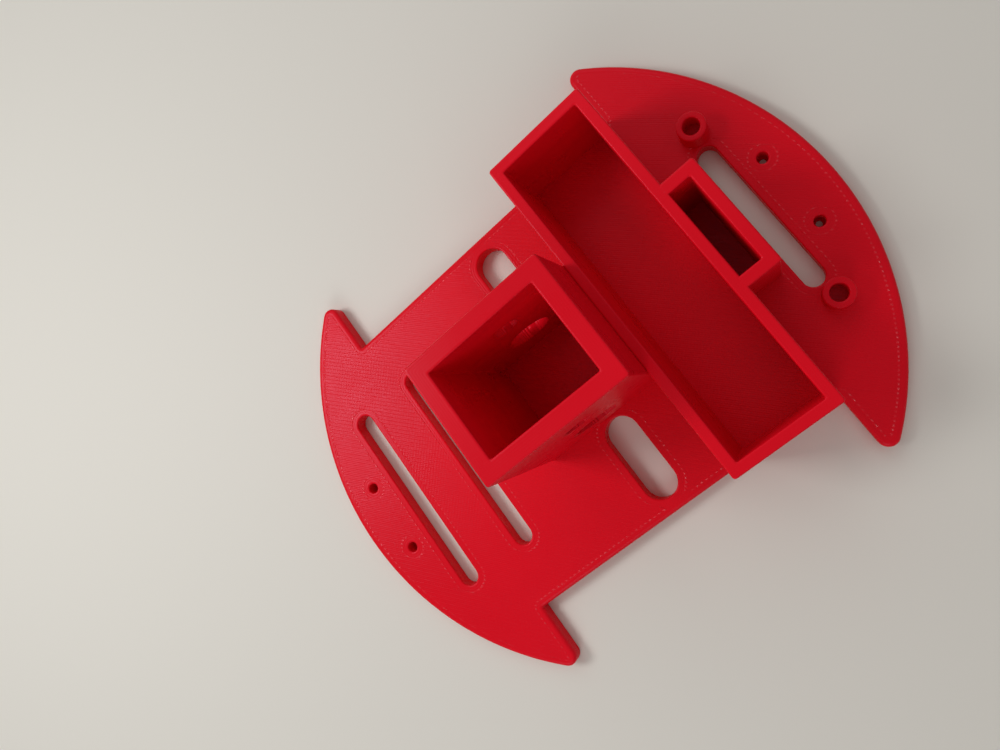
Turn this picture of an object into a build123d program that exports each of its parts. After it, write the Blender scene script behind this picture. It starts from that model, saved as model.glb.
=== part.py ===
from build123d import *
import os

# Four wheel robot chassis: a round deck with two wheel notches, and the box,
# socket, tower and standoffs that stand on it. Millimetres, +Z up.
# Origin: centre of the deck's underside. +X is the front, +Y is the left side.

os.makedirs("parts", exist_ok=True)

# Deck
deck_radius = 60.0
deck_thickness = 3.5
waist_half_width = 34.0
notch_half_length = 35.2
horn_tip_radius = 2.0
horn_height = 1.0  # an upright edge this far beyond the waist belongs to a horn tip
deck_top_round = 0.8
deck_bottom_round = 0.35

# Long cross slots in the deck, as (centre x, overall length)
cross_slot_width = 4.1
rear_outer_slot = (-45.0, 44.0)
rear_inner_slot = (-29.6, 44.0)
front_slot = (45.4, 33.6)

# Wide slots on each side of the tower
wide_slot_width = 7.0
wide_slot_length = 18.4
wide_slot_y = 21.9

# Small screw holes near the front and rear edges, where a caster bolts on
caster_hole_radius = 1.05
caster_hole_x = 52.3
caster_hole_y = 7.8

# Battery box: four walls, with the deck as its floor
box_rear_x = 14.2
box_front_x = 35.2
box_half_length = 34.0
box_wall = 2.1
box_top = 23.5

# Socket on the front of the battery box: three walls, the box is the fourth
socket_inner_depth = 4.3
socket_inner_half_length = 8.9
socket_wall = 2.25

# Tower: a rectangular tube over the middle of the deck, its front wall against the box
tower_length = 29.2
tower_width = 24.0
tower_wall = 3.3
tower_top = 38.5

# Round holes straight through both side walls of the tower
tower_hole_x = 0.3
cable_hole_radius = 4.4
cable_hole_z = 14.8
pin_hole_radius = 2.5
pin_hole_z = 27.7

# Standoffs with screw holes, beside the front slot
standoff_x = 46.3
standoff_y = 20.0
standoff_radius = 2.8
standoff_hole_radius = 1.6
standoff_top = 8.0


def cut_cross_slot(centre_x, overall_length):
    with Locations((centre_x, 0)):
        SlotOverall(overall_length, cross_slot_width, rotation=90)


# Deck plate
with BuildPart() as deck_plate:
    with BuildSketch(Plane.XY):
        Circle(deck_radius)
        # Wheel notches, cut from both sides down to the waist
        notch_depth = deck_radius - waist_half_width
        for side in (1, -1):
            with Locations((0, side * (waist_half_width + notch_depth / 2))):
                Rectangle(2 * notch_half_length, notch_depth, mode=Mode.SUBTRACT)
    extrude(amount=deck_thickness)
    upright_edges = deck_plate.edges().filter_by(Axis.Z)
    horn_tips = upright_edges.filter_by(lambda edge: abs(edge.center().Y) > waist_half_width + horn_height)
    fillet(horn_tips, horn_tip_radius)
    # Soft edges round the outline, wider on top than underneath
    top_face = deck_plate.faces().sort_by(Axis.Z)[-1]
    fillet(top_face.edges(), deck_top_round)
    bottom_face = deck_plate.faces().sort_by(Axis.Z)[0]
    fillet(bottom_face.edges(), deck_bottom_round)
    # The deck's edge stays square under the ends of the battery box
    with BuildSketch(Plane.XY.offset(deck_bottom_round)):
        with Locations(((box_rear_x + box_front_x) / 2, 0)):
            Rectangle(box_front_x - box_rear_x, 2 * box_half_length)
    extrude(amount=deck_thickness - deck_bottom_round)
    with BuildSketch(Plane.XY):
        for centre_x, overall_length in (rear_outer_slot, rear_inner_slot, front_slot):
            cut_cross_slot(centre_x, overall_length)
        for side in (1, -1):
            with Locations((0, side * wide_slot_y)):
                SlotOverall(wide_slot_length, wide_slot_width, rotation=90)
        for end in (1, -1):
            for side in (1, -1):
                with Locations((end * caster_hole_x, side * caster_hole_y)):
                    Circle(caster_hole_radius)
    extrude(amount=deck_thickness, mode=Mode.SUBTRACT)
deck_plate.part.label = "deck_plate"

# Battery box walls
with BuildPart() as battery_box:
    with BuildSketch(Plane.XY.offset(deck_thickness)):
        box_width = box_front_x - box_rear_x
        with Locations(((box_rear_x + box_front_x) / 2, 0)):
            Rectangle(box_width, 2 * box_half_length)
            Rectangle(box_width - 2 * box_wall, 2 * (box_half_length - box_wall), mode=Mode.SUBTRACT)
    extrude(amount=box_top - deck_thickness)
battery_box.part.label = "battery_box"

# Socket walls
with BuildPart() as front_socket:
    with BuildSketch(Plane.XY.offset(deck_thickness)):
        outer_depth = socket_inner_depth + socket_wall
        outer_length = 2 * (socket_inner_half_length + socket_wall)
        with Locations((box_front_x + outer_depth / 2, 0)):
            Rectangle(outer_depth, outer_length)
        with Locations((box_front_x + socket_inner_depth / 2, 0)):
            Rectangle(socket_inner_depth, 2 * socket_inner_half_length, mode=Mode.SUBTRACT)
    extrude(amount=box_top - deck_thickness)
front_socket.part.label = "front_socket"

# Tower
with BuildPart() as tower:
    with BuildSketch(Plane.XY.offset(deck_thickness)):
        with Locations((box_rear_x - tower_length / 2, 0)):
            Rectangle(tower_length, tower_width)
            Rectangle(tower_length - 2 * tower_wall, tower_width - 2 * tower_wall, mode=Mode.SUBTRACT)
    extrude(amount=tower_top - deck_thickness)
    with BuildSketch(Plane.XZ):
        with Locations((tower_hole_x, cable_hole_z)):
            Circle(cable_hole_radius)
        with Locations((tower_hole_x, pin_hole_z)):
            Circle(pin_hole_radius)
    extrude(amount=tower_width, both=True, mode=Mode.SUBTRACT)
tower.part.label = "tower"


def standoff_ring():
    Circle(standoff_radius)
    Circle(standoff_hole_radius, mode=Mode.SUBTRACT)


# Standoffs
with BuildPart() as standoff_left:
    with BuildSketch(Plane.XY.offset(deck_thickness)):
        with Locations((standoff_x, standoff_y)):
            standoff_ring()
    extrude(amount=standoff_top - deck_thickness)
standoff_left.part.label = "standoff_left"

with BuildPart() as standoff_right:
    with BuildSketch(Plane.XY.offset(deck_thickness)):
        with Locations((standoff_x, -standoff_y)):
            standoff_ring()
    extrude(amount=standoff_top - deck_thickness)
standoff_right.part.label = "standoff_right"

export_step(deck_plate.part, "parts/deck_plate.step")
export_step(battery_box.part, "parts/battery_box.step")
export_step(front_socket.part, "parts/front_socket.step")
export_step(tower.part, "parts/tower.step")
export_step(standoff_left.part, "parts/standoff_left.step")
export_step(standoff_right.part, "parts/standoff_right.step")
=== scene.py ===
import math
import random

import bmesh
import bpy
import numpy as np
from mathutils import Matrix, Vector
from mathutils.geometry import delaunay_2d_cdt


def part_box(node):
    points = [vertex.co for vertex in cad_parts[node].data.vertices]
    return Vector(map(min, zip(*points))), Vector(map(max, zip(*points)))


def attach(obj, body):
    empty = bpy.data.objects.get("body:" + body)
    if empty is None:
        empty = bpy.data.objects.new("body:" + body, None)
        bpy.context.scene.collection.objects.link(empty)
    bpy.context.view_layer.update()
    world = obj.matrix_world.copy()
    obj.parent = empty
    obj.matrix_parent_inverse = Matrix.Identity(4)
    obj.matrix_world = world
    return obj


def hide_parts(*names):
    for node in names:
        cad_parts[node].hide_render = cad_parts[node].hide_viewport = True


# Four wheel robot chassis, one red printed part. Lengths are millimetres until a mesh is made.
# The shapes below carry the lines of the print as real geometry: stacked layers on the walls,
# perimeter beads round every edge and diagonal beads on the flat faces.

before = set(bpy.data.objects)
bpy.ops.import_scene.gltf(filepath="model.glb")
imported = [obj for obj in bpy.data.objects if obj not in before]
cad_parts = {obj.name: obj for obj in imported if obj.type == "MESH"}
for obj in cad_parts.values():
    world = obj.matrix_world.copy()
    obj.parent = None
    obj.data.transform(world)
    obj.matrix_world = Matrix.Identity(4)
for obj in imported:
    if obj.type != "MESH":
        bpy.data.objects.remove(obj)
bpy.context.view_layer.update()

MM = 0.001

# ---------------------------------------------------------------- layers and beads
LAYER = 0.2               # layer height
LAYER_CROWN = (0.3, 0.7)  # the flat part of a layer's side, as shares of its height
LAYER_GROOVE = 0.022      # depth of the groove between two layers
LAYER_SHIFT = 0.012       # how far a layer may sit back, at random
RIDGE_GROOVE = 2.6 * LAYER_GROOVE  # deeper groove in the tower, level with the box's rim
RIDGE_PROUD = 0.5 * LAYER_SHIFT    # how far the layers there stand out inside the tower
BEAD = 0.42               # width of one perimeter bead
BEAD_SHOULDER = 0.22      # share of a bead's width and of its groove's depth, at its shoulders
BEAD_GROOVE = 0.022       # depth of the groove between two beads on the deck
RIM_GROOVE = 0.01         # the same on a rim, where the nozzle smooths them
BOTTOM_GROOVE = 0.015     # the same underneath, where the print bed flattens them
DECK_LOOPS = 3            # perimeter beads round each edge of the deck
FILL_PITCH = 0.8          # two diagonal beads, laid one each way
FILL_GROOVE = 0.02        # depth of the groove between two diagonal beads
FILL_GAP = 0.16           # clear space between a diagonal bead's end and the perimeter
TOP_DIRECTION = -45       # of the diagonal beads, in degrees
BOTTOM_DIRECTION = 45
# One pair of diagonal beads, as (share of the pitch, share of the groove's depth)
FILL_SHAPE = (
    (0.0, 1.0), (0.13, 0.25), (0.25, 0.0), (0.37, 0.25),
    (0.5, 0.6), (0.63, 0.3), (0.75, 0.1), (0.87, 0.3),
)

# Blobs where a diagonal bead turns back at its end
TURN_HEIGHT = 0.11        # most that a blob stands proud
TURN_LEAST = 0.2          # the smallest blob, as a share of that
TURN_CREST = (0.08, 0.3)  # from the bead's end to both sides of the blob's crest
TURN_LENGTH = 0.42        # the blob's whole length
TURN_HALF_WIDTH = 0.32    # half its width, as a share of the pitch
TURN_MIDDLES = (0.5, 0.0)  # blobs at the beads' starts and at their ends, as shares of the pitch

# ---------------------------------------------------------------- edges and joins
EDGE_ROUND = 0.3          # rounding of a printed top edge
EDGE_ANGLES = (15, 35, 55, 75)  # points on that rounding, in degrees
BOTTOM_ROUND = 0.2        # the deck's bottom edge is cut back this far
BOTTOM_LIFT = 0.01        # height of the ring underneath, between perimeter and diagonal beads
WALL_CORNER = 0.6         # outer corner of an upright wall
INSIDE_CORNER = 0.35
SINK = 1.1                # raised walls start this far inside the deck
WALL_LAP = 0.35           # the socket's ends reach this far into the box's wall
END_RUN = 0.05            # short last run of an open loop, which keeps its shading straight
HOLE_FOOT = 0.45          # how far the first layers close in on a small hole
HOLE_FOOT_HEIGHTS = (0.1 * LAYER, 2 * LAYER)  # where those layers start and end
NOTCH_CORNER = 0.3        # softens a notch's inside corner, which the CAD leaves sharp
BORE_REACH = 20.0         # half the length of the tool that cuts the tower's bores
BORE_STEP_GAP = 0.012     # a bore's step between two layers takes this much of each

# ---------------------------------------------------------------- points on a loop
SEGMENT = 3.0             # longest straight run between two points
RIM_STEPS = 72
TIP_STEPS = 14
NOTCH_STEPS = 5
CORNER_STEPS = 6
SLOT_STEPS = 20
HOLE_STEPS = 40
DISC_STEPS = 64

# ---------------------------------------------------------------- sizes, as in the CAD
DECK_RADIUS = 59.98       # a little inside the CAD's, whose mesh has flat facets
DECK_TOP = 3.5
DECK_ROUND = 0.8
WAIST = 34.0
NOTCH = 35.2
HORN_TIP = 2.0
SLOT_WIDTH = 4.1
CROSS_SLOTS = ((-45.0, 44.0), (-29.6, 44.0), (45.4, 33.6))  # (centre x, overall length)
WIDE_SLOT_WIDTH = 7.0
WIDE_SLOT_LENGTH = 18.4
WIDE_SLOT_Y = 21.9
CASTER_HOLE = 1.05
CASTER_X = 52.3
CASTER_Y = 7.8
BOX_WALL = 2.1
SOCKET_WALL = 2.25
TOWER_WALL = 3.3
STANDOFF_HOLE = 1.6
TOWER_BORES = ((0.3, 14.8, 4.4), (0.3, 27.7, 2.5))  # (x, z, radius), cable hole and pin hole

rng = random.Random(7)


# ---------------------------------------------------------------- outlines
def arc(centre, radius, start, end, count):
    """count + 1 points of an arc, its angles in degrees."""
    points = []
    for i in range(count + 1):
        angle = math.radians(start + (end - start) * i / count)
        points.append((centre[0] + radius * math.cos(angle), centre[1] + radius * math.sin(angle)))
    return points


def with_runs(points, cuts, closed):
    """The points with cuts[i] more between point i and the next one."""
    out = []
    for i, point in enumerate(points):
        out.append(point)
        if i + 1 == len(points) and not closed:
            break
        nxt = points[(i + 1) % len(points)]
        for k in range(1, cuts[i] + 1):
            share = k / (cuts[i] + 1)
            out.append((point[0] + (nxt[0] - point[0]) * share, point[1] + (nxt[1] - point[1]) * share))
    return out


def divided(make, closed=True):
    """make(inset) with its long runs divided alike at every inset."""
    base = make(0.0)
    cuts = []
    for i, point in enumerate(base):
        nxt = base[(i + 1) % len(base)]
        cuts.append(int(math.dist(point, nxt) / SEGMENT))
    return lambda inset: with_runs(make(inset), cuts, closed)


def deck_outline(inset):
    """The deck's outline, inset into the material."""
    tip_x = NOTCH + HORN_TIP
    tip_y = math.sqrt((DECK_RADIUS - HORN_TIP) ** 2 - tip_x ** 2)
    tip_angle = math.degrees(math.atan2(tip_y, tip_x))
    rim = DECK_RADIUS - inset
    tip = HORN_TIP - inset
    corner = NOTCH_CORNER + inset
    corner_x = NOTCH - NOTCH_CORNER
    corner_y = WAIST + NOTCH_CORNER
    points = []
    points += arc((0, 0), rim, -tip_angle, tip_angle, RIM_STEPS)
    points += arc((tip_x, tip_y), tip, tip_angle, 180, TIP_STEPS)[1:]
    points += arc((corner_x, corner_y), corner, 0, -90, NOTCH_STEPS)
    points += arc((-corner_x, corner_y), corner, -90, -180, NOTCH_STEPS)
    points += arc((-tip_x, tip_y), tip, 0, 180 - tip_angle, TIP_STEPS)
    points += arc((0, 0), rim, 180 - tip_angle, 180 + tip_angle, RIM_STEPS)[1:]
    points += arc((-tip_x, -tip_y), tip, 180 + tip_angle, 360, TIP_STEPS)[1:]
    points += arc((-corner_x, -corner_y), corner, 180, 90, NOTCH_STEPS)
    points += arc((corner_x, -corner_y), corner, 90, 0, NOTCH_STEPS)
    points += arc((tip_x, -tip_y), tip, -180, -tip_angle, TIP_STEPS)[:-1]
    return points


def slot_outline(x, y, length, width):
    """A slot along Y, whose inset goes into the material round it."""
    reach = (length - width) / 2

    def at(inset):
        radius = width / 2 + inset
        left_end = arc((x, y + reach), radius, 0, 180, SLOT_STEPS)
        right_end = arc((x, y - reach), radius, 180, 360, SLOT_STEPS)
        return left_end + right_end

    return at


def hole_outline(x, y, radius):
    """A round hole, whose inset goes into the material round it."""
    return lambda inset: arc((x, y), radius + inset, 0, 360, HOLE_STEPS)[:-1]


def disc_outline(x, y, radius):
    """A round post, whose inset goes into it."""
    return lambda inset: arc((x, y), radius - inset, 0, 360, DISC_STEPS)[:-1]


def box_outline(low, high):
    """An upright wall's loop; its corners tighten from the outer radius to the inside one."""

    def at(inset):
        radius = max(WALL_CORNER - inset, INSIDE_CORNER)
        corners = (
            (high[0], high[1], 0),
            (low[0], high[1], 90),
            (low[0], low[1], 180),
            (high[0], low[1], 270),
        )
        points = []
        for x, y, start in corners:
            inward_x = -1 if x == high[0] else 1
            inward_y = -1 if y == high[1] else 1
            centre = (x + inward_x * (inset + radius), y + inward_y * (inset + radius))
            points += arc(centre, radius, start, start + 90, CORNER_STEPS)
        return points

    return at


def bracket_outline(rear, front, half):
    """Three walls that stand against the box: an open loop from its right end to its left end."""

    def at(inset):
        radius = max(WALL_CORNER - inset, INSIDE_CORNER)
        x = front - inset - radius
        y = half - inset - radius
        points = [(rear, -half + inset), (rear + END_RUN, -half + inset)]
        points += arc((x, -y), radius, -90, 0, CORNER_STEPS)
        points += arc((x, y), radius, 0, 90, CORNER_STEPS)
        points += [(rear + END_RUN, half - inset), (rear, half - inset)]
        return points

    return at


# ---------------------------------------------------------------- profiles
def layered_side(base, bottom, top, sign, ridge=None):
    """(inset, height) up one side: a crown for each layer, a groove between two. sign is 1
    where the material lies at a larger inset, -1 where it lies at a smaller one. The layers
    at the ridge's height have a deeper groove."""
    count = round((top - bottom) / LAYER)
    step = (top - bottom) / count
    rows = []
    for i in range(count):
        z = bottom + i * step
        back = rng.random() * LAYER_SHIFT
        if ridge is not None and abs(z + step / 2 - ridge) < LAYER:
            back = -RIDGE_PROUD if sign < 0 else 0.0
            rows.append((base + sign * RIDGE_GROOVE, z))
        else:
            rows.append((base + sign * (LAYER_SHIFT + LAYER_GROOVE), z))
        for share in LAYER_CROWN:
            rows.append((base + sign * back, z + share * step))
    rows.append((base + sign * (LAYER_SHIFT + LAYER_GROOVE), top))
    return rows


def beads_across(start, end, top, groove, count):
    """(inset, height) of count beads side by side on a top face."""
    width = (end - start) / count
    shoulder = top - BEAD_SHOULDER * groove
    rows = []
    for i in range(count):
        left = start + i * width
        if i:
            rows.append((left, top - groove))
        rows.append((left + BEAD_SHOULDER * width, shoulder))
        rows.append((left + width / 2, top))
        rows.append((left + (1 - BEAD_SHOULDER) * width, shoulder))
    return rows


def rounded_edge(radius, top):
    """(inset, height) over a rounded top edge."""
    rows = []
    for angle in EDGE_ANGLES:
        turn = math.radians(angle)
        rows.append((radius * (1 - math.cos(turn)), top - radius * (1 - math.sin(turn))))
    return rows


def wall_profile(thickness, bottom, top, ridge=None):
    """The cross section of an upright wall, up its outside, over the rim and down its inside."""
    shoulder = top - EDGE_ROUND
    outside = layered_side(0.0, bottom, shoulder, 1, ridge)
    inside_face = layered_side(thickness, bottom, shoulder, -1, ridge)
    rim = rounded_edge(EDGE_ROUND, top)
    over = [(thickness - inset, z) for inset, z in reversed(rim)]
    count = max(2, round((thickness - 2 * EDGE_ROUND) / BEAD))
    beads = beads_across(EDGE_ROUND, thickness - EDGE_ROUND, top, RIM_GROOVE, count)
    return outside + rim + beads + over + inside_face[::-1]


def deck_profile(edge_round, foot):
    """Up one of the deck's edges, from the ring round its underside to the ring round its top."""
    band = DECK_LOOPS * BEAD
    bottom_beads = beads_across(BOTTOM_ROUND, band, 0.0, -BOTTOM_GROOVE, DECK_LOOPS)
    closing = []
    start = LAYER
    if foot > 0.0:
        closing = [(-foot, height) for height in HOLE_FOOT_HEIGHTS]
        start = HOLE_FOOT_HEIGHTS[-1]
    side = layered_side(0.0, start, DECK_TOP - edge_round, 1)
    edge = rounded_edge(edge_round, DECK_TOP)
    count = max(1, round((band - edge_round) / BEAD))
    top_beads = beads_across(edge_round, band, DECK_TOP, BEAD_GROOVE, count)
    bottom_ring = [(band, BOTTOM_LIFT)]
    top_ring = [(band, DECK_TOP - BEAD_GROOVE)]
    return bottom_ring + bottom_beads[::-1] + closing + side + edge + top_beads + top_ring


# ---------------------------------------------------------------- meshes
def ring_of(bm, points, z):
    return [bm.verts.new((x * MM, y * MM, z * MM)) for x, y in points]


def bridge(bm, first, second, closed=True):
    count = len(first)
    for i in range(count if closed else count - 1):
        j = (i + 1) % count
        bm.faces.new((first[i], first[j], second[j], second[i])).smooth = True


def sweep(bm, outline, profile, closed=True):
    """The profile's (inset, height) rows, each a loop of the outline; returns the loops."""
    rings = [ring_of(bm, outline(inset), z) for inset, z in profile]
    for first, second in zip(rings, rings[1:]):
        bridge(bm, first, second, closed)
    return rings


def upright_wall(bm, outline, profile, closed=True):
    """A wall that closes on itself underneath, and at its ends where its loop is open."""
    rings = sweep(bm, outline, profile, closed)
    bridge(bm, rings[-1], rings[0], closed)
    if not closed:
        bm.faces.new([ring[0] for ring in rings])
        bm.faces.new([ring[-1] for ring in rings])


def finished(name, bm, nodes, material):
    """Makes the mesh's object, which stands for those CAD nodes."""
    bmesh.ops.recalc_face_normals(bm, faces=bm.faces)
    mesh = bpy.data.meshes.new(name)
    bm.to_mesh(mesh)
    bm.free()
    mesh.materials.append(material)
    piece = bpy.data.objects.new(name, mesh)
    bpy.context.scene.collection.objects.link(piece)
    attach(piece, "root")
    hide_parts(*nodes)
    return piece


# ---------------------------------------------------------------- material
DARK_RED = (0.73, 0.0032, 0.0125, 1)
LIGHT_RED = (0.82, 0.0045, 0.0155, 1)
# Paler red painted on the blobs where the beads turn: a painted highlight for their glints
BLOB_PAINTED_HIGHLIGHT = (0.89, 0.045, 0.07, 1)
DRIFT_STRETCH = (0.5, 0.5, 14)      # flattens the drift of the colour into layers
DRIFT_ENDS = (0.3, 0.7)             # of the noise, at the darkest and at the lightest red
ROUGHNESS = (0.22, 0.36)
BLOB_SMOOTHING = -0.15              # what a full blob adds to the roughness
COAT_ROUGHNESS = 0.22               # of the blobs' gloss
SPECULAR_LEVEL = 0.14
SPECULAR_TINT = (1.0, 0.7, 1.0, 1)
GRAIN_DEPTH = 0.02
CHATTER_DEPTH = 0.016
CHATTER_PATCHES = (0.4, 0.65)       # of the noise, where chatter starts and where it is full
CHATTER_FACING = (0.93, 0.99)       # the same, of the upward part of the surface's normal
CHATTER_CEILING = DECK_TOP + 0.5    # no chatter above this height

# Where a colour mix node has its sockets
MIX_FACTOR = 0
MIX_FROM = 6
MIX_TO = 7
MIX_RESULT = 2


class Tree:
    """A material's nodes. Apart from add and link, each method adds a node for the surface's
    place or for the sockets it is given, and returns the node's output."""

    def __init__(self, material):
        self.tree = material.node_tree
        self.place = self.add("ShaderNodeTexCoord").outputs["Object"]

    def add(self, kind, **settings):
        made = self.tree.nodes.new(kind)
        for key, value in settings.items():
            setattr(made, key, value)
        return made

    def link(self, source, target):
        self.tree.links.new(source, target)

    def mapping(self, setting, values):
        made = self.add("ShaderNodeMapping")
        made.inputs[setting].default_value = values
        self.link(self.place, made.inputs["Vector"])
        return made.outputs["Vector"]

    def noise(self, scale, detail, vector=None):
        made = self.add("ShaderNodeTexNoise")
        made.inputs["Scale"].default_value = scale
        made.inputs["Detail"].default_value = detail
        self.link(self.place if vector is None else vector, made.inputs["Vector"])
        return made.outputs["Fac"]

    def z_of(self, vector):
        made = self.add("ShaderNodeSeparateXYZ")
        self.link(vector, made.inputs["Vector"])
        return made.outputs["Z"]

    def spread(self, value, source=(0.0, 1.0), target=(0.0, 1.0)):
        made = self.add("ShaderNodeMapRange")
        made.inputs["From Min"].default_value = source[0]
        made.inputs["From Max"].default_value = source[1]
        made.inputs["To Min"].default_value = target[0]
        made.inputs["To Max"].default_value = target[1]
        self.link(value, made.inputs["Value"])
        return made.outputs["Result"]

    def product(self, first, second):
        made = self.add("ShaderNodeMath", operation="MULTIPLY")
        self.link(first, made.inputs[0])
        self.link(second, made.inputs[1])
        return made.outputs["Value"]

    def bump(self, height, strength, depth, normal=None):
        made = self.add("ShaderNodeBump")
        made.inputs["Strength"].default_value = strength
        made.inputs["Distance"].default_value = depth * MM
        self.link(height, made.inputs["Height"])
        if normal is not None:
            self.link(normal, made.inputs["Normal"])
        return made.outputs["Normal"]


def base_colour(tree, blob):
    """Slow drift from layer to layer, with a painted highlight: paler red on the blobs, standing for
    their glints.
    """
    drift = tree.noise(scale=45, detail=3, vector=tree.mapping("Scale", DRIFT_STRETCH))
    ramp = tree.add("ShaderNodeValToRGB")
    for stop, position, colour in zip(ramp.color_ramp.elements, DRIFT_ENDS, (DARK_RED, LIGHT_RED)):
        stop.position = position
        stop.color = colour
    tree.link(drift, ramp.inputs["Fac"])
    # Painted highlight: mixes the paler red onto the blobs
    painted_highlight = tree.add("ShaderNodeMix", data_type="RGBA")
    painted_highlight.inputs[MIX_TO].default_value = BLOB_PAINTED_HIGHLIGHT
    tree.link(blob, painted_highlight.inputs[MIX_FACTOR])
    tree.link(ramp.outputs["Color"], painted_highlight.inputs[MIX_FROM])
    return painted_highlight.outputs[MIX_RESULT]


def roughness(tree, blob):
    """A patchy sheen, smoother on the blobs."""
    sheen = tree.spread(tree.noise(scale=160, detail=4), target=ROUGHNESS)
    smoother = tree.add("ShaderNodeMath", operation="MULTIPLY_ADD")
    smoother.inputs[1].default_value = BLOB_SMOOTHING
    tree.link(blob, smoother.inputs[0])
    tree.link(sheen, smoother.inputs[2])
    return smoother.outputs["Value"]


def chatter_share(tree):
    """How much chatter there is: only on top of the deck, and in patches."""
    on_deck = tree.add("ShaderNodeMath", operation="LESS_THAN")
    on_deck.inputs[1].default_value = CHATTER_CEILING * MM
    tree.link(tree.z_of(tree.place), on_deck.inputs[0])
    patches = tree.spread(tree.noise(scale=60, detail=2), source=CHATTER_PATCHES)
    normal = tree.add("ShaderNodeNewGeometry").outputs["True Normal"]
    facing = tree.spread(tree.z_of(normal), source=CHATTER_FACING)
    return tree.product(tree.product(on_deck.outputs["Value"], patches), facing)


def fine_surface(tree):
    """Fine grain all over, and chatter along the deck's diagonal beads."""
    grained = tree.bump(tree.noise(scale=2600, detail=2), strength=0.25, depth=GRAIN_DEPTH)
    chatter = tree.add("ShaderNodeTexWave", wave_type="BANDS", bands_direction="X")
    chatter.inputs["Scale"].default_value = 480
    chatter.inputs["Distortion"].default_value = 1.2
    chatter.inputs["Detail"].default_value = 1
    turned = tree.mapping("Rotation", (0, 0, math.radians(-TOP_DIRECTION)))
    tree.link(turned, chatter.inputs["Vector"])
    height = tree.product(chatter.outputs["Fac"], chatter_share(tree))
    return tree.bump(height, strength=0.5, depth=CHATTER_DEPTH, normal=grained)


def red_print_material():
    """Red PLA, satin, with glossy blobs where the beads turn, and paler red painted on them as a
    highlight.
    """
    material = bpy.data.materials.new("red_print")
    material.use_nodes = True
    shader = material.node_tree.nodes["Principled BSDF"]
    tree = Tree(material)
    blob = tree.add("ShaderNodeAttribute", attribute_name="turn").outputs["Fac"]
    tree.link(base_colour(tree, blob), shader.inputs["Base Color"])
    tree.link(roughness(tree, blob), shader.inputs["Roughness"])
    tree.link(fine_surface(tree), shader.inputs["Normal"])
    tree.link(blob, shader.inputs["Coat Weight"])
    shader.inputs["Coat Roughness"].default_value = COAT_ROUGHNESS
    shader.inputs["Specular IOR Level"].default_value = SPECULAR_LEVEL
    shader.inputs["Specular Tint"].default_value = SPECULAR_TINT
    return material


# ---------------------------------------------------------------- flat faces
def crossings(loops, across, along, value):
    """Sorted places along a line, across . p = value, where it meets the loops' edges."""
    found = []
    for loop in loops:
        here = loop @ across - value
        there = np.roll(here, -1)
        hit = np.nonzero((here > 0) != (there > 0))[0]
        share = here[hit] / (here[hit] - there[hit])
        nxt = np.roll(loop, -1, axis=0)
        found.extend((loop[hit] + share[:, None] * (nxt[hit] - loop[hit])) @ along)
    return sorted(found)


def inside(points, loops):
    """Whether each point lies inside an odd number of the loops."""
    odd = np.zeros(len(points), bool)
    for loop in loops:
        nxt = np.roll(loop, -1, axis=0)
        for (ax, ay), (bx, by) in zip(loop, nxt):
            if ay == by:
                continue
            spans = (points[:, 1] > ay) != (points[:, 1] > by)
            reach = ax + (points[:, 1] - ay) / (by - ay) * (bx - ax)
            odd ^= spans & (points[:, 0] < reach)
    return odd


def turn_share(share, middle):
    """How much of a turn's blob stands on the line at that share of the pitch."""
    away = abs((share - middle + 0.5) % 1.0 - 0.5)
    return max(0.0, 1.0 - away / TURN_HALF_WIDTH)


def bead_line(start, end, height, first, last):
    """(place, height, lift) along one line of a bead, lifted where it turns at each end."""
    if end - start < 3 * TURN_LENGTH:
        return [(start, height, 0.0), (end, height, 0.0)]
    near, far = TURN_CREST
    line = [(start, height, 0.0)]
    if first > 0.0:
        line += [(start + near, height + first, first), (start + far, height + first, first)]
        line.append((start + TURN_LENGTH, height, 0.0))
    if last > 0.0:
        line.append((end - TURN_LENGTH, height, 0.0))
        line += [(end - far, height + last, last), (end - near, height + last, last)]
    line.append((end, height, 0.0))
    return line


class FacePlan:
    """The points and edges that a flat face is triangulated from."""

    def __init__(self):
        self.points = []
        self.edges = []
        self.heights = []
        self.lifts = []
        self.owners = []

    def add(self, x, y, height, lift=0.0, owner=None):
        self.points.append((x, y))
        self.heights.append(height)
        self.lifts.append(lift)
        self.owners.append(owner)

    def add_ring(self, ring):
        """A loop of vertices that the mesh already has."""
        first = len(self.points)
        for i, vertex in enumerate(ring):
            self.add(vertex.co.x / MM, vertex.co.y / MM, vertex.co.z / MM, owner=vertex)
            self.edges.append((first + i, first + (i + 1) % len(ring)))

    def add_bead(self, line, base, along):
        """A bead's line, its places measured along a direction from the base."""
        for i, (place, height, lift) in enumerate(line):
            if i:
                self.edges.append((len(self.points) - 1, len(self.points)))
            point = base + along * place
            self.add(point[0], point[1], height, lift)


def plan_beads(plan, loops, crown, groove, direction, blob):
    """Adds the diagonal beads between the loops, where they end."""
    along = np.array([math.cos(math.radians(direction)), math.sin(math.radians(direction))])
    across = np.array([-along[1], along[0]])
    pairs = int(2 * DECK_RADIUS / FILL_PITCH)
    for pair in range(-pairs // 2, pairs // 2):
        size = blob * rng.uniform(TURN_LEAST, 1.0)
        for share, depth in FILL_SHAPE:
            first, last = [size * turn_share(share, middle) for middle in TURN_MIDDLES]
            value = (pair + share) * FILL_PITCH
            places = crossings(loops, across, along, value)
            for start, end in zip(places[::2], places[1::2]):
                if end - start < BEAD:
                    continue
                line = bead_line(start, end, crown + depth * groove, first, last)
                plan.add_bead(line, across * value, along)


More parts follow.
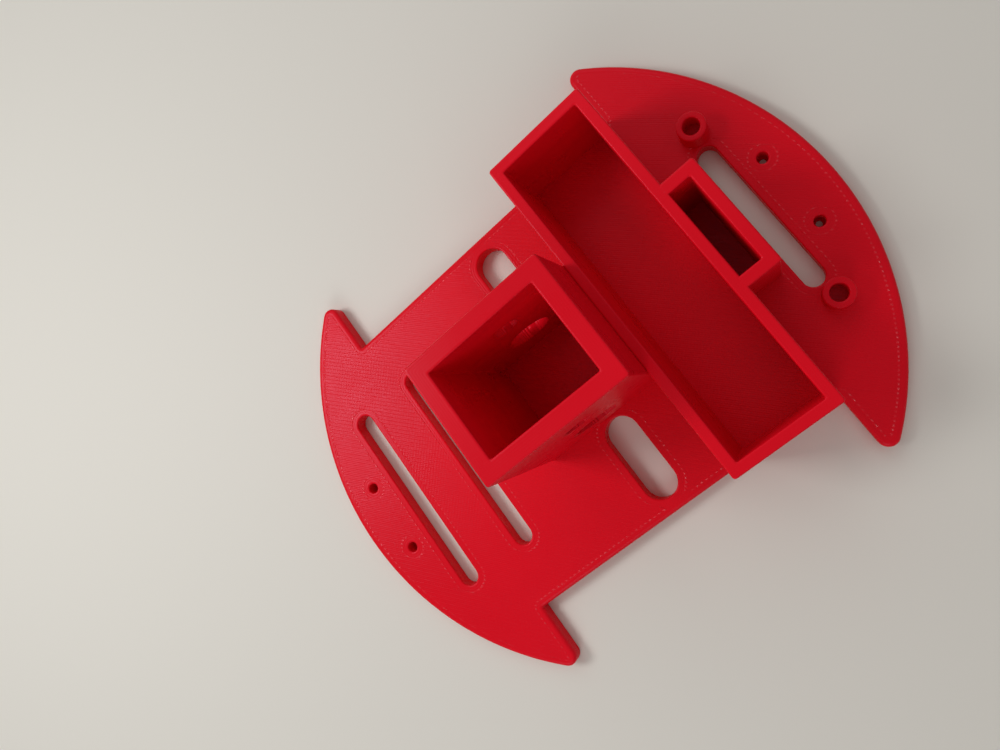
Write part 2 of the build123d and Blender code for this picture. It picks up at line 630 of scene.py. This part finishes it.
def beaded_face(bm, rings, clear_loops, crown, groove, direction, blob=0.0):
    """Fills the face between the rings with diagonal beads. rings are vertex loops of the
    mesh, clear_loops the same outlines moved in a little, where the beads end."""
    plan = FacePlan()
    for ring in rings:
        plan.add_ring(ring)
    plan_beads(plan, [np.array(loop) for loop in clear_loops], crown, groove, direction, blob)

    flat = [Vector(point) for point in plan.points]
    verts, _, faces, origin, _, _ = delaunay_2d_cdt(flat, plan.edges, [], 0, 1e-6, True)
    corners = np.array([(v.x, v.y) for v in verts])
    triangles = np.array(faces)
    centres = corners[triangles].mean(axis=1)
    ring_loops = [np.array([(v.co.x / MM, v.co.y / MM) for v in ring]) for ring in rings]
    turn_layer = bm.verts.layers.float["turn"]
    made = {}

    def vertex_at(index):
        if index not in made:
            source = origin[index][0]
            if plan.owners[source] is None:
                x, y = corners[index]
                vertex = bm.verts.new((x * MM, y * MM, plan.heights[source] * MM))
                vertex[turn_layer] = plan.lifts[source] / TURN_HEIGHT
                plan.owners[source] = vertex
            made[index] = plan.owners[source]
        return made[index]

    for triangle in triangles[inside(centres, ring_loops)]:
        bm.faces.new([vertex_at(index) for index in triangle]).smooth = False


# ---------------------------------------------------------------- pieces
def build_deck(material):
    # (outline, rounding of its top edge, how far it closes in at its foot)
    edges = [(divided(deck_outline), DECK_ROUND, 0.0)]
    for x, length in CROSS_SLOTS:
        edges.append((divided(slot_outline(x, 0, length, SLOT_WIDTH)), EDGE_ROUND, 0.0))
    for side in (1, -1):
        slot = slot_outline(0, side * WIDE_SLOT_Y, WIDE_SLOT_LENGTH, WIDE_SLOT_WIDTH)
        edges.append((divided(slot), EDGE_ROUND, 0.0))
    for end in (1, -1):
        for side in (1, -1):
            hole = hole_outline(end * CASTER_X, side * CASTER_Y, CASTER_HOLE)
            edges.append((hole, EDGE_ROUND, HOLE_FOOT))

    bm = bmesh.new()
    bm.verts.layers.float.new("turn")
    tops = []
    bottoms = []
    clear = []
    for outline, edge_round, foot in edges:
        rings = sweep(bm, outline, deck_profile(edge_round, foot))
        bottoms.append(rings[0])
        tops.append(rings[-1])
        clear.append(outline(DECK_LOOPS * BEAD + FILL_GAP))
    beaded_face(bm, tops, clear, DECK_TOP, -FILL_GROOVE, TOP_DIRECTION, TURN_HEIGHT)
    beaded_face(bm, bottoms, clear, 0.0, BOTTOM_GROOVE, BOTTOM_DIRECTION)
    return finished("deck_plate_print", bm, ["deck_plate"], material)


def corners_of(name):
    """A CAD node's lowest and highest corner, in millimetres."""
    low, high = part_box(name)
    return [value / MM for value in low], [value / MM for value in high]


def build_tube(name, wall, material, ridge=None):
    """A rectangular tube, which the battery box and the tower are."""
    low, high = corners_of(name)
    bm = bmesh.new()
    profile = wall_profile(wall, low[2] - SINK, high[2], ridge)
    upright_wall(bm, divided(box_outline(low, high)), profile)
    return finished(name + "_print", bm, [name], material)


def bore_outline(radius):
    """(across, up) round a bore, stepped as its layers are."""
    right = []
    left = []
    for i in range(round(2 * radius / LAYER)):
        low = -radius + i * LAYER
        half = math.sqrt(max(radius ** 2 - (low + LAYER / 2) ** 2, 0.0))
        for height in (low + BORE_STEP_GAP, low + LAYER - BORE_STEP_GAP):
            right.append((half, height))
            left.append((-half, height))
    return right + left[::-1]


def bore(piece, x, z, radius):
    """Cuts a hole along Y straight through the piece."""
    outline = bore_outline(radius)
    bm = bmesh.new()
    rings = []
    for y in (-BORE_REACH, BORE_REACH):
        rings.append([bm.verts.new(((x + px) * MM, y * MM, (z + pz) * MM)) for px, pz in outline])
    bridge(bm, *rings)
    for ring in rings:
        bm.faces.new(ring)
    bmesh.ops.recalc_face_normals(bm, faces=bm.faces)
    mesh = bpy.data.meshes.new("bore")
    bm.to_mesh(mesh)
    bm.free()
    cutter = bpy.data.objects.new("bore", mesh)
    bpy.context.scene.collection.objects.link(cutter)
    cut = piece.modifiers.new("bore", "BOOLEAN")
    cut.operation = "DIFFERENCE"
    cut.solver = "EXACT"
    cut.object = cutter
    depsgraph = bpy.context.evaluated_depsgraph_get()
    piece.data = bpy.data.meshes.new_from_object(piece.evaluated_get(depsgraph))
    piece.modifiers.clear()
    bpy.data.objects.remove(cutter)


def build_socket(material):
    low, high = corners_of("front_socket")
    bm = bmesh.new()
    outline = divided(bracket_outline(low[0] - WALL_LAP, high[0], high[1]), closed=False)
    profile = wall_profile(SOCKET_WALL, low[2] - SINK, high[2])
    upright_wall(bm, outline, profile, closed=False)
    return finished("front_socket_print", bm, ["front_socket"], material)


def build_standoff(name, material):
    low, high = corners_of(name)
    radius = (high[0] - low[0]) / 2
    outline = disc_outline((low[0] + high[0]) / 2, (low[1] + high[1]) / 2, radius)
    bm = bmesh.new()
    upright_wall(bm, outline, wall_profile(radius - STANDOFF_HOLE, low[2] - SINK, high[2]))
    return finished(name + "_print", bm, [name], material)


red = red_print_material()
build_deck(red)
build_tube("battery_box", BOX_WALL, red)
box_rim = corners_of("battery_box")[1][2]
tower = build_tube("tower", TOWER_WALL, red, box_rim)
for bore_x, bore_z, bore_radius in TOWER_BORES:
    bore(tower, bore_x, bore_z, bore_radius)
build_socket(red)
build_standoff("standoff_left", red)
build_standoff("standoff_right", red)


# ---------------------------------------------------------------- floor, lights, camera
# Metres and watts
FLOOR_SIZE = 3.0
FLOOR_DROP = 0.00005      # keeps the floor just clear of the deck's underside
FLOOR_COLOUR = (0.76, 0.74, 0.69, 1)
FLOOR_ROUGHNESS = 0.6
SKY_COLOUR = (1.0, 0.98, 0.95, 1)
SKY_STRENGTH = 0.33
LIGHT_COLOUR = (1.0, 0.99, 0.97)
LIGHTS = (                # (name, place, width of the square, power)
    ("key", (-0.19, 0.14, 0.27), 0.12, 0.42),
    ("upper_fill", (0.1, 0.42, 0.45), 0.4, 0.45),
    ("lower_fill", (-0.28, -0.36, 0.35), 0.3, 0.55),
)


def build_floor():
    bpy.ops.mesh.primitive_plane_add(size=FLOOR_SIZE, location=(0, 0, -FLOOR_DROP))
    floor = bpy.context.object
    floor.name = "floor"
    material = bpy.data.materials.new("floor")
    material.use_nodes = True
    shader = material.node_tree.nodes["Principled BSDF"]
    shader.inputs["Base Color"].default_value = FLOOR_COLOUR
    shader.inputs["Roughness"].default_value = FLOOR_ROUGHNESS
    floor.data.materials.append(material)


def area_light(name, place, width, power):
    """A square light that faces the origin."""
    data = bpy.data.lights.new(name, "AREA")
    data.shape = "RECTANGLE"
    data.size = width
    data.size_y = width
    data.energy = power
    data.color = LIGHT_COLOUR
    light = bpy.data.objects.new(name, data)
    light.location = place
    light.rotation_euler = (-Vector(place)).to_track_quat("-Z", "Y").to_euler()
    bpy.context.scene.collection.objects.link(light)


def build_sky():
    world = bpy.data.worlds.new("studio")
    world.use_nodes = True
    background = world.node_tree.nodes["Background"]
    background.inputs["Color"].default_value = SKY_COLOUR
    background.inputs["Strength"].default_value = SKY_STRENGTH
    bpy.context.scene.world = world


def build_camera():
    data = bpy.data.cameras.new("camera")
    data.sensor_width = 36
    data.lens = 26.6267
    data.shift_x = -0.01134
    data.shift_y = -0.00685
    data.clip_start = 0.005
    camera = bpy.data.objects.new("camera", data)
    camera.location = (0.031745, -0.024109, 0.146612)
    camera.rotation_euler = (-0.0056297, 0.3540556, -0.6750509)
    bpy.context.scene.collection.objects.link(camera)
    bpy.context.scene.camera = camera


build_floor()
for light_settings in LIGHTS:
    area_light(*light_settings)
build_sky()
build_camera()
bpy.context.scene.view_settings.view_transform = "Standard"
